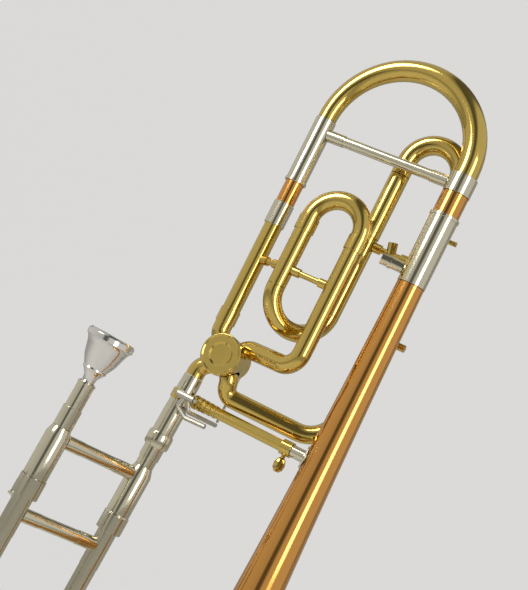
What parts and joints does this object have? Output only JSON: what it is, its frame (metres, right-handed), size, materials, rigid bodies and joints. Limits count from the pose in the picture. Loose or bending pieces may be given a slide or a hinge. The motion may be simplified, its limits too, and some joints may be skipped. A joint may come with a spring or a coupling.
{
  "type": "tenor trombone",
  "caption": "Tenor trombone with a valve loop: bell, tuning slide, rotary valve with thumb trigger, and telescoping hand slide with mouthpiece.",
  "frame": {"origin": "centre of the bell mouth", "axes": "+Z along the bell's axis towards the tuning bow, -X towards the hand slide, -Y towards the viewer of the valve cap"},
  "size_m": [0.3258, 0.218, 1.1531],
  "materials": {
    "yellow_brass": "polished and lacquered",
    "rose_brass": "polished and lacquered rose brass",
    "nickel_silver": "polished nickel silver",
    "matte_nickel": "satin",
    "silver_plate": "polished silver plate"
  },
  "bodies": {
    "root": {"bell_flare": "rose_brass", "bell_sleeve": "nickel_silver", "gooseneck": "yellow_brass", "gooseneck_ferrule": "nickel_silver", "gooseneck_inner_leg": "rose_brass", "outlet_ferrule": "yellow_brass", "valve_casing": "yellow_brass", "valve_back_plate": "nickel_silver", "outlet_elbow": "yellow_brass", "inlet_elbow": "yellow_brass", "loop_entry_tube": "yellow_brass", "loop_return_tube": "yellow_brass", "front_bow_ferrule_left": "yellow_brass", "front_bow_ferrule_right": "yellow_brass", "front_bow": "yellow_brass", "front_left_leg": "yellow_brass", "lower_bow": "yellow_brass", "back_left_leg": "yellow_brass", "loop_sleeve_left": "yellow_brass", "loop_sleeve_right": "yellow_brass", "gooseneck_loop_brace": "yellow_brass", "loop_brace": "yellow_brass", "rear_brace": "yellow_brass", "sleeve_stub": "nickel_silver", "neckpipe": "nickel_silver", "neckpipe_band": "yellow_brass", "bell_brace_tube": "yellow_brass", "brace_collar": "yellow_brass", "brace_socket": "nickel_silver", "trigger_axle": "nickel_silver"},
    "tuning_slide": {"tuning_bow": "yellow_brass", "tuning_brace": "nickel_silver", "tuning_ferrule_right": "nickel_silver", "tuning_leg_right": "rose_brass", "tuning_sleeve_left": "nickel_silver"},
    "loop_slide": {"loop_slide_bow": "yellow_brass", "loop_slide_leg_left": "nickel_silver", "loop_slide_leg_right": "nickel_silver"},
    "rotor": {"valve_rotor": "nickel_silver", "stop_arm": "nickel_silver"},
    "trigger": {"trigger_lever": "matte_nickel"},
    "link": {"link_rod": "nickel_silver"},
    "valve_cap": {"valve_cap": "yellow_brass"},
    "bell_lock_nut": {"bell_lock_nut": "nickel_silver"},
    "brace_thumbscrew": {"brace_thumbscrew": "yellow_brass"},
    "inner_slide": {"slide_receiver": "nickel_silver", "mouthpiece_receiver": "nickel_silver", "inner_tube_right": "nickel_silver", "inner_tube_left": "nickel_silver", "cork_barrel_right": "nickel_silver", "cork_barrel_left": "nickel_silver", "inner_brace": "nickel_silver"},
    "mouthpiece": {"mouthpiece": "silver_plate"},
    "slide_lock_ring": {"slide_lock_ring": "nickel_silver"},
    "outer_slide": {"outer_tube_right": "nickel_silver", "outer_tube_left": "nickel_silver", "outer_brace": "nickel_silver", "end_crook": "yellow_brass"},
    "water_key": {"water_key": "nickel_silver"}
  },
  "joints": [
    {"name": "tuning_slide_pull", "type": "slide", "parent": "root", "child": "tuning_slide", "axis": [0, 0, 1], "range_m": [-0.016, 0.035]},
    {"name": "loop_slide_pull", "type": "slide", "parent": "root", "child": "loop_slide", "axis": [0, 0, 1], "range_m": [0, 0.04]},
    {"name": "rotor_turn", "type": "hinge", "parent": "root", "child": "rotor", "pos_m": [-0.109, 0, 0.394], "axis": [0, 1, 0], "range_deg": [0, 90], "stiffness_Nm_per_rad": 0.05, "springref_deg": -28.65},
    {"name": "trigger_press", "type": "hinge", "parent": "root", "child": "trigger", "pos_m": [-0.12, -0.013, 0.352], "axis": [-1, 0, 0], "range_deg": [0, 33]},
    {"name": "link_swing", "type": "hinge", "parent": "trigger", "child": "link", "pos_m": [-0.1002, 0.0204, 0.3418], "axis": [1, 0, 0], "range_deg": [0, 22]},
    {"name": "cap_turn", "type": "hinge", "parent": "root", "child": "valve_cap", "pos_m": [-0.109, 0, 0.394], "axis": [0, -1, 0], "continuous": true},
    {"name": "lock_nut_turn", "type": "hinge", "parent": "root", "child": "bell_lock_nut", "pos_m": [-0.1305, 0, 0.3052], "axis": [0.048, 0, 0.9988], "continuous": true},
    {"name": "thumbscrew_turn", "type": "hinge", "parent": "root", "child": "brace_thumbscrew", "pos_m": [-0.0305, 0, 0.35], "axis": [0, 0, 1], "continuous": true},
    {"name": "slide_swing", "type": "hinge", "parent": "root", "child": "inner_slide", "pos_m": [-0.1305, 0, 0.3052], "axis": [0.048, 0, 0.9988], "range_deg": [-10, 10]},
    {"name": "mouthpiece_pull", "type": "slide", "parent": "inner_slide", "child": "mouthpiece", "axis": [0.048, 0, 0.9988], "range_m": [0, 0.05]},
    {"name": "lock_ring_turn", "type": "hinge", "parent": "inner_slide", "child": "slide_lock_ring", "pos_m": [-0.17368, -0.07202, 0.30727], "axis": [0.048, 0, 0.9988], "range_deg": [-15, 0]},
    {"name": "hand_slide", "type": "slide", "parent": "inner_slide", "child": "outer_slide", "axis": [-0.048, 0, -0.9988], "range_m": [0, 0.6]},
    {"name": "water_key_press", "type": "hinge", "parent": "outer_slide", "child": "water_key", "pos_m": [-0.1802, -0.04167, -0.47771], "axis": [-0.514, -0.8574, 0.0247], "range_deg": [0, 15], "stiffness_Nm_per_rad": 0.05, "springref_deg": -17.19}
  ],
  "couplings": [
    {"joint": "trigger_press", "follows": "rotor_turn", "ratio": 0.35556},
    {"joint": "link_swing", "follows": "rotor_turn", "ratio": 0.2356}
  ]
}
